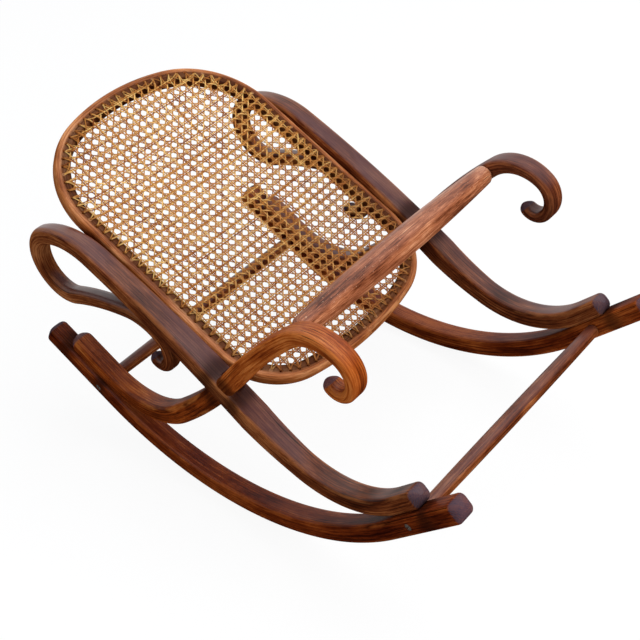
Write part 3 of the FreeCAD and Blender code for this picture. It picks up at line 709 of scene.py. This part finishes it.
def turned_bar(name, path, along, number, length, middle, end, nose, tenon=0.0):
    """A profile turned about a line along Y: its diameter falls from middle to end with the square of the
    distance, nose rounds it off, and a tenon of its own diameter may follow."""
    x, z, _ = beside(path, along, 0.0)
    half, body = length / 2, length / 2 - nose
    share = np.linspace(-1, 1, 61)
    y, radius = share * body, (middle + (end - middle) * share ** 2) / 2
    turn = np.linspace(0, np.pi / 2, 9)[1:]
    shoulder = max(tenon, end - 2 * nose) / 2
    nose_y = body + nose * np.sin(turn)
    nose_radius = end / 2 - (end / 2 - shoulder) * (1 - np.cos(turn))
    if tenon:
        nose_y, nose_radius = np.append(nose_y, half + TENON_LENGTH), np.append(nose_radius, tenon / 2)
    y = np.concatenate([-nose_y[::-1], y, nose_y])
    radius = np.concatenate([nose_radius[::-1], radius, nose_radius])
    spin = np.linspace(0, 2 * np.pi, SPIN_STEPS, endpoint=False)
    across, through = radius[:, None] * np.sin(spin), radius[:, None] * np.cos(spin)
    grid = spread(x + across, y[:, None], z + through).reshape(-1, 3)
    points = np.concatenate([grid, [(x, y[0], z), (x, y[-1], z)]])
    place = spread(y[:, None], across, through).reshape(-1, 3)
    place = np.concatenate([place, [[y[0], 0, 0], [y[-1], 0, 0]]]) * MM + TREE_STEP * number
    near_end = np.clip((np.abs(y) - body) / nose, 0, 1)[:, None]
    wear = spread(near_end * NOSE_WEAR, np.cos(spin), 0.0).reshape(-1, 3)
    wear = np.concatenate([wear, np.zeros((2, 3))])
    piece = mesh_piece(name, points, *tube_faces(len(y), SPIN_STEPS), place, wear)
    print(name, len(piece.data.polygons), "faces")
    return piece


FOOT_BAR = {"length": 361.0, "middle": 36.0, "end": 26.0, "nose": 6.0, "tenon": 14.0}
STRETCHER = {"length": 370.0, "middle": 19.5, "end": 17.0, "nose": 2.0}
sticks["foot_bar"] = turned_bar("foot_bar_turned", leg_path, foot_bar_at, 11, **FOOT_BAR)
sticks["front_stretcher"] = turned_bar("front_stretcher_turned", runner_path, front_stretcher_at, 12, **STRETCHER)
sticks["rear_stretcher"] = turned_bar("rear_stretcher_turned", runner_path, REAR_STRETCHER_AT, 13, **STRETCHER)

# %% [markdown]
# ## Six-way cane
# The weave has pairs of strands along the seat, pairs across it, and two sets of diagonals that cut the
# corners of every mesh, which leaves eight-sided holes. Each strand is a thin split of rattan: flat below,
# domed above. Along and across strands weave under and over within each pair; one diagonal goes under the
# lengthwise pairs and over the crosswise ones, and the other the opposite way.
# Years of feet have made the middle sag.

# %% Sizes of the cane
MESH_BACK, MESH_SIDE = 12.2, 12.6  # size of one mesh, along and across the seat
PAIR = 0.095  # half the distance between a pair's strands, in meshes
LEVEL = 11.2  # of the weave above the hoop's middle plane
SAG, SAG_REACH = 11.0, 130.0  # depth of the hollow, and how far from the rim it is reached
SETTING_OUT = 6.0  # distance from the ring of holes at which strands turn to their holes
PULL, PULL_REACH = 0.45, 11.0  # how far a strand's end is drawn towards its hole, and from where
HOLE_SLACK = 0.7  # room for a strand to lie off the middle of its hole
STRAY, WAVER = 0.22, 0.35  # how far strands lie off their lines, as a whole and in waves
UNDER_SHADE_AND_GRIME, RIM_SHADE, RIM_REACH = 0.7, 0.36, 11.0  # painted shade and grime where a strand dips, and painted shade from the holes inwards
STRAND_SIDE = np.array((-1.0, -0.72, 0.72, 1.0, 0.5, -0.5))  # a strand's section, across
STRAND_HEIGHT = np.array((-0.12, -0.5, -0.5, -0.12, 0.5, 0.5))  # and up
END_SHADE = (0.38, 0.6, 1.0, 1.0)  # painted shade on a strand's last four rings, down into its hole
dice = np.random.default_rng(7)
rim_back, rim_y, rim_heading, _ = ring_path.at(np.linspace(0, ring_path.total, 900, endpoint=False))


# %% One strand
def room_inside(back, y):
    """Distance inside the ring of holes: to the nearest point of the ring, along its inward normal."""
    gap_back, gap_y = back[:, None] - rim_back, y[:, None] - rim_y
    nearest = (np.arange(len(back)), np.argmin(gap_back ** 2 + gap_y ** 2, axis=1))
    heading = rim_heading[nearest[1]]
    return gap_y[nearest] * np.cos(heading) - gap_back[nearest] * np.sin(heading)


def strand(line, direction, knots, height, wide, thick):
    """One strand along a straight line of the seat, pulled to the nearest hole at each end and down into it.
    line is a point on it, knots the distances at which it is drawn, height the weave's lift at each."""
    sway = dice.normal(0, STRAY) + WAVER * np.sin(knots / dice.uniform(60, 120) + dice.uniform(0, 6))
    side = np.array((-direction[1], direction[0]))
    centre = line[None] + knots[:, None] * direction + sway[:, None] * side
    room = room_inside(centre[:, 0], centre[:, 1])
    inside = room > SETTING_OUT
    if inside.sum() < 4:
        return None
    knots, centre, height, room = knots[inside], centre[inside], height[inside], room[inside]
    reach = np.clip((room - HOOP[0] / 2) / SAG_REACH, 0, 1)
    up = LEVEL + height - SAG * (1 - (1 - reach) ** 2)
    ends = []
    for end in (0, -1):
        gap = np.hypot(hole_back - centre[end, 0], hole_y - centre[end, 1])
        hole = np.array((hole_back[gap.argmin()], hole_y[gap.argmin()])) + dice.uniform(-HOLE_SLACK, HOLE_SLACK, 2)
        pull = hole - centre[end]
        pull = pull - direction * (pull @ direction)
        weight = np.clip(1 - np.abs(knots - knots[end]) / PULL_REACH, 0, 1) ** 2
        centre = centre + weight[:, None] * pull * PULL
        way = hole - centre[end]
        brink = [(*(hole - way * 0.3), LEVEL - 0.5), (*(hole - way * 0.1), LEVEL - 1.1)]
        ends.append(brink + [(*hole, 8.0), (*hole, 2.0)])
    path = np.concatenate([np.array(ends[0][::-1]), np.column_stack([centre, up]), np.array(ends[1])])
    side = np.append(side, 0.0)
    lift = unit(np.cross(unit(np.gradient(path, axis=0)), side))
    lift = lift * np.sign(lift[len(lift) // 2, 2])
    across, rise = STRAND_SIDE * wide / 2, STRAND_HEIGHT * thick
    grid = path[:, None] + across[None, :, None] * side + rise[None, :, None] * lift[:, None]
    run = np.concatenate([[0], np.cumsum(np.linalg.norm(np.diff(path, axis=0), axis=1))])
    # painted shade, with some grime, where a strand dips under another; painted shade near the rim of holes
    under = UNDER_SHADE_AND_GRIME * np.clip(0.5 - height, 0, 1)
    grimy_and_shaded = np.maximum(under, RIM_SHADE * np.clip(1.6 - room / RIM_REACH, 0, 1))
    grime_and_shade = np.concatenate([END_SHADE[::-1], grimy_and_shaded, END_SHADE])
    return grid, run, grime_and_shade


# %% Strands as meshes
def strand_surface(grid, run, grime_and_shade):
    """A strand's points, faces, places and the masks for painted shade: how near the edge, the painted shade with
    some dirt, and how far forward.
    """
    rings, around = grid.shape[:2]
    world = seat_points(grid[..., 0], grid[..., 1], grid[..., 2]).reshape(-1, 3)
    world = np.concatenate([world, [world[:around].mean(0), world[-around:].mean(0)]])
    chance = dice.uniform(0, 1)
    place = spread(run[:, None] * MM + 3 * chance, STRAND_SIDE * MM + 0.37 * chance, chance).reshape(-1, 3)
    forward = 1 - grid[..., 0] / HOOP_LENGTH
    wear = spread(np.abs(STRAND_SIDE), grime_and_shade[:, None], forward).reshape(-1, 3)
    order = np.append(np.arange(rings * around), (0, rings * around - 1))
    return (world, *tube_faces(rings, around)), place[order], wear[order]


def weave_piece(name, strands):
    """All strands of one direction as one mesh of closed ribbons."""
    surfaces, places, cane_shade_masks = zip(*[strand_surface(*one) for one in strands if one is not None])
    piece = mesh_piece(name, *joined(surfaces), np.concatenate(places), np.concatenate(cane_shade_masks))
    print(name, len(surfaces), "strands,", len(piece.data.polygons), "faces")
    return piece


# %% The weave
SWING, SLANT_SWING = 0.42, 0.8  # how far straight and slanted strands go up and down
STRAIGHT, SLANTED = (1.85, 0.72), (1.65, 0.68)  # width and thickness of the strands


def lift_in_pair(mesh):
    """The lift of a strand that goes under one strand of a pair and over the other, at places in meshes."""
    off = (mesh - np.round(mesh)) / PAIR
    return SWING * off * np.exp((1 - off ** 2) / 2)


SPOTS = np.array((-0.5, -0.24, -PAIR, 0.0, PAIR, 0.24))
spans = (np.arange(-22, 23)[:, None] + SPOTS).ravel()
rounds = np.arange(-200, 201) / 8
centre_back = HOOP_LENGTH / 2
lengthwise = [
    strand(np.array((centre_back, (j + 0.5 + sign * PAIR) * MESH_SIDE)), np.array((1.0, 0)),
           spans * MESH_BACK, -sign * lift_in_pair(spans), *STRAIGHT)
    for j in range(-14, 14) for sign in (-1, 1)]
crosswise = [
    strand(np.array((centre_back + (i + sign * PAIR) * MESH_BACK, MESH_SIDE * 0.5)), np.array((0, 1.0)),
           spans * MESH_SIDE, sign * lift_in_pair(spans), *STRAIGHT)
    for i in range(-20, 21) for sign in (-1, 1)]


def diagonals(sign):
    """The diagonals of one direction: half a mesh off the pairs, so that they cut the corners of the meshes."""
    slant = np.array((MESH_BACK, sign * MESH_SIDE))
    reach = np.linalg.norm(slant)
    lines = [np.array((centre_back + (k + 0.5) * MESH_BACK, MESH_SIDE * 0.5)) for k in range(-34, 35)]
    height = sign * SLANT_SWING * np.cos(2 * np.pi * rounds)
    return [strand(line, slant / reach, rounds * reach, height, *SLANTED) for line in lines]


weave = {"cane_lengthwise": lengthwise, "cane_crosswise": crosswise,
         "cane_diagonal_one": diagonals(1), "cane_diagonal_two": diagonals(-1)}
cane_pieces = [weave_piece(name, family) for name, family in weave.items()]

# %% [markdown]
# ## Stained beech
# Bentwood chairs are straight-grained beech, stained red-brown and varnished. The stick's own coordinates feed
# everything: growth rings seen as long thin lines, streaks where the stain sank in, short dark pores, a few
# cracks. The stain is rubbed to orange on rounded edges and darkened at the joints by painted shade and grime.
# What is left of the varnish lies on top, where it shines coolly under the sky; a purple sheen is painted on the
# upper faces here and there.
# Sun and hands have aged the sticks unevenly, so most kinds of stick have tones of their own. The two cross legs
# are one wood, with the near leg's tones painted lighter for the light on it and the far leg's darker for its
# shade.

# %% Wood finish
def beech(name, tones, rubbed, shine, painted_sheen=0.2, rings=1.0, nicks=0.0):
    """Stained beech from four tones, dark to light. The shares are rubbed for worn edges, shine for the varnish
    on top, painted_sheen for a purple sheen painted on the upper faces, rings for growth rings and nicks for pale
    nicks on top."""
    flow, finish = new_material(name)
    tones = [colour_of(*tone) for tone in tones]
    place, wear = flow.kept("place"), flow.kept("wear")
    edge, upward, end = wear.part(0), wear.part(1), wear.part(2)
    sway = place.stretch((4.0, 22.0, 22.0)).noise(1.0, 2.0)
    ring = ((place.part(1) * 0.8 + place.part(2) * 0.6 + sway * 0.010) * 2300.0).sine() * 0.5 + 0.5
    streak = place.stretch((7.0, 440.0, 440.0)).noise(1.0, 4.0, 0.62)
    fibre = place.stretch((50.0, 1900.0, 1900.0)).noise(1.0, 2.0, 0.6)
    cloud = place.stretch((15.0, 52.0, 52.0)).noise(1.0, 3.0, 0.55)
    pores = place.stretch((95.0, 2600.0, 2600.0)).noise(1.0, 1.0).band(0.60, 0.70)
    slow = place.stretch((6.0, 11.0, 11.0)).noise(1.0, 1.0)
    cracks = place.stretch((3.2, 520.0, 520.0)).noise(1.0, 1.0).band(0.70, 0.75)
    tone = (streak - 0.5) * 1.15 + (cloud - 0.5) * 1.5 + (fibre - 0.5) * 1.2 - ring ** 3.0 * (0.20 * rings)
    tone = tone + (slow - 0.5) * 1.3 + 0.52
    stain = flow.node("ValToRGB", {"stops": list(zip((0.02, 0.34, 0.66, 1.0), tones))}, {0: tone})
    # painted sheen: a purple tint on upward faces stands in for the sky's reflection in the varnish
    painted_sheen_mask = upward.band(0.45, 0.9) * slow.band(0.40, 0.58)
    stain = stain.tint(rgba(74, 40, 44), painted_sheen_mask * painted_sheen)
    worn = edge.band(0.1, 0.8) * place.stretch((14.0, 70.0, 70.0)).noise(1.0, 4.0, 0.6).band(0.44, 0.62)
    stain = stain.tint((*tones[3], 1), worn * rubbed)
    stain = stain.tint((*tones[0], 1), pores * 0.6)
    stain = stain.tint(rgba(22, 8, 5), cracks * 0.85)
    # painted shade and grime: darker near the joints and on the hoop's inner top
    grimy_and_shaded = (edge * -1.0).band(0.05, 0.9)
    stain = stain.tint(rgba(36, 15, 9), grimy_and_shaded * 0.75)
    nick = place.stretch((330.0, 420.0, 420.0)).noise(1.0, 1.0).band(0.70, 0.74) * upward.band(0.3, 0.9)
    stain = stain.tint(rgba(214, 172, 140), nick * nicks)
    saw = (place.part(1) * 3600.0 + place.part(2) * 1300.0).sine() * 0.5 + 0.5
    stain = stain.tint(rgba(70, 62, 74), end.band(0.22, 0.5) * (saw * 0.40 + 0.55))
    varnish = upward.band(0.50, 0.97) * (cloud * 0.8 + 0.65) * shine * (1 - worn * 0.5) * (1 - grimy_and_shaded * 0.7)
    gloss = 0.46 + cloud * 0.12 + pores * 0.2 + end * 0.2
    relief = fibre * 0.5 - pores * 0.9 + streak * 0.7 - cracks * 1.2 - nick * nicks
    bump = flow.node("Bump", None, {"Strength": 0.22, "Distance": 0.0006, "Height": relief})
    return finish(
        Base_Color=stain, Roughness=gloss, Normal=bump, Coat_Weight=varnish, Coat_Roughness=0.32,
        Specular_IOR_Level=0.0)


# %% Tones of the sticks
RUNNER_TONES = ((42, 11, 5), (86, 30, 10), (120, 51, 18), (168, 88, 38))
RAIL_TONES = ((44, 17, 9), (86, 39, 19), (122, 64, 32), (170, 106, 62))
# the two cross legs are one wood: the near leg's tones are painted lighter for the light on it, the far leg's
# darker for its shade
LEG_TONES = ((78, 30, 10), (130, 57, 19), (166, 83, 31), (202, 120, 58))
SHADED_FAR_LEG_TONES = ((40, 16, 9), (74, 34, 19), (104, 52, 30), (156, 92, 56))
BAR_TONES = ((72, 34, 20), (136, 76, 48), (172, 106, 72), (218, 158, 118))
HOOP_TONES = ((86, 38, 15), (138, 75, 35), (174, 105, 58), (212, 148, 98))
runner_wood = beech("runner_beech", RUNNER_TONES, rubbed=0.45, shine=0.4)
rail_wood = beech("rail_beech", RAIL_TONES, rubbed=0.45, shine=1.0, painted_sheen=0.75)
stretcher_wood = beech("stretcher_beech", RAIL_TONES, rubbed=0.5, shine=1.0, painted_sheen=0.5, rings=0.5)
woods = {
    "left_runner": runner_wood, "right_runner": runner_wood,
    "left_side_rail": rail_wood, "right_side_rail": rail_wood,
    # painted light: the far cross leg gets darker tones for its shade, the near one lighter tones for its light
    "left_cross_leg": beech("shaded_far_leg_beech", SHADED_FAR_LEG_TONES, rubbed=0.5, shine=0.8, painted_sheen=0.5),
    "right_cross_leg": beech("lit_near_leg_beech", LEG_TONES, rubbed=0.6, shine=0.45),
    "foot_bar": beech("bar_beech", BAR_TONES, rubbed=0.5, shine=0.9, rings=0.6, nicks=0.45),
    "front_stretcher": stretcher_wood, "rear_stretcher": stretcher_wood,
    "seat_hoop": beech("hoop_beech", HOOP_TONES, rubbed=0.6, shine=0.4, painted_sheen=0.1, rings=0.7)}

for node, piece in sticks.items():
    off_lathe = node == "foot_bar" or node.endswith("stretcher")
    piece.data.materials.clear()
    piece.data.materials.append(woods[node])
    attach(piece, "root")
    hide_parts(node)

# %% [markdown]
# ## Cane, screws and pegs
# Old cane is honey coloured. Painted shade makes it browner at the edges of each strand, where a strand dips under
# another, near the rim, where it goes down into the holes and towards the front; where it dips there is some grime
# too. The screws are old steel, gone dull and brown.
# Screws and pegs keep the shapes of the CAD model.

# %% Cane finish
def rattan(name):
    """Cane from the strand's own coordinates: clouds and fibres along it, and browns painted for shade, with some
    dirt where a strand dips.
    """
    flow, finish = new_material(name)
    place, wear = flow.kept("place"), flow.kept("wear")
    edge, dip_shade_and_grime, forward = wear.part(0), wear.part(1), wear.part(2)
    chance = place.part(2)
    cloud = place.stretch((30.0, 200.0, 9.0)).noise(1.0, 3.0)
    fibre = place.stretch((60.0, 4200.0, 5.0)).noise(1.0, 2.0)
    knots = place.stretch((9.0, 0.0, 31.0)).noise(1.0, 0.0).band(0.70, 0.78)
    tone = (cloud - 0.5) * 1.9 + (fibre - 0.5) * 0.6 + (chance - 0.5) * 0.7 + 0.5
    honey = [(0.0, colour_of(134, 70, 32)), (0.5, colour_of(200, 132, 62)), (1.0, colour_of(248, 204, 124))]
    skin = flow.node("ValToRGB", {"stops": honey}, {0: tone})
    # painted shade: browner towards the front of the seat
    skin = skin.tint(rgba(150, 90, 52), forward.band(0.35, 1.0) * (0.35 + cloud * 0.5))
    # painted shade: darker along the edges of each strand, at the gaps between strands
    skin = skin.tint(rgba(122, 70, 38), edge.band(0.75, 1.0) * 0.5)
    skin = skin.tint(rgba(104, 58, 32), knots * 0.6)
    # painted shade: dark brown where a strand dips, near the rim and down into the holes, with some grime where it
    # dips
    skin = skin.tint(rgba(62, 24, 12), dip_shade_and_grime * 0.95)
    bump = flow.node("Bump", None, {"Strength": 0.2, "Distance": 0.0002, "Height": fibre})
    return finish(Base_Color=skin, Roughness=0.42 + cloud * 0.2, Normal=bump, Specular_IOR_Level=0.05)


cane_finish = rattan("honey_cane")
for piece in cane_pieces:
    piece.data.materials.append(cane_finish)
    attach(piece, "root")
    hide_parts("cane_panel")


# %% Screws and pegs
def old_steel(name):
    """Dull steel with brown grime in its scratches, from the object's own coordinates."""
    flow, finish = new_material(name)
    spot = flow.node("TexCoord", None, None, 3)
    grime_and_shade = spot.noise(700.0, 4.0).band(0.40, 0.66)
    dull = [(0.0, (0.075, 0.055, 0.042)), (1.0, (0.02, 0.012, 0.008))]
    colour = flow.node("ValToRGB", {"stops": dull}, {0: grime_and_shade})
    scratch = spot.stretch((1.0, 1.0, 6.0)).noise(2600.0, 2.0)
    bump = flow.node("Bump", None, {"Strength": 0.25, "Distance": 0.0002, "Height": scratch})
    return finish(Base_Color=colour, Metallic=0.6 - grime_and_shade * 0.5, Roughness=0.6 + grime_and_shade * 0.25, Normal=bump)


def peg_wood(name):
    """Split wood pegs with their grain standing up."""
    flow, finish = new_material(name)
    spot = flow.node("TexCoord", None, None, 3)
    grain = spot.stretch((1.0, 1.0, 0.3)).noise(1500.0, 3.0)
    split = [(0.3, colour_of(84, 44, 20)), (0.7, colour_of(168, 110, 60))]
    colour = flow.node("ValToRGB", {"stops": split}, {0: grain})
    bump = flow.node("Bump", None, {"Strength": 0.3, "Distance": 0.0003, "Height": grain})
    return finish(Base_Color=colour, Roughness=0.55 + grain * 0.2, Normal=bump)


steel, peg = old_steel("old_screw_steel"), peg_wood("peg_wood_end")
for node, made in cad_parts.items():
    if node.endswith("screws") or node == "cane_pegs":
        finish = peg if node == "cane_pegs" else steel
        if not made.material_slots:
            made.data.materials.append(finish)
        for slot in made.material_slots:
            slot.material = finish
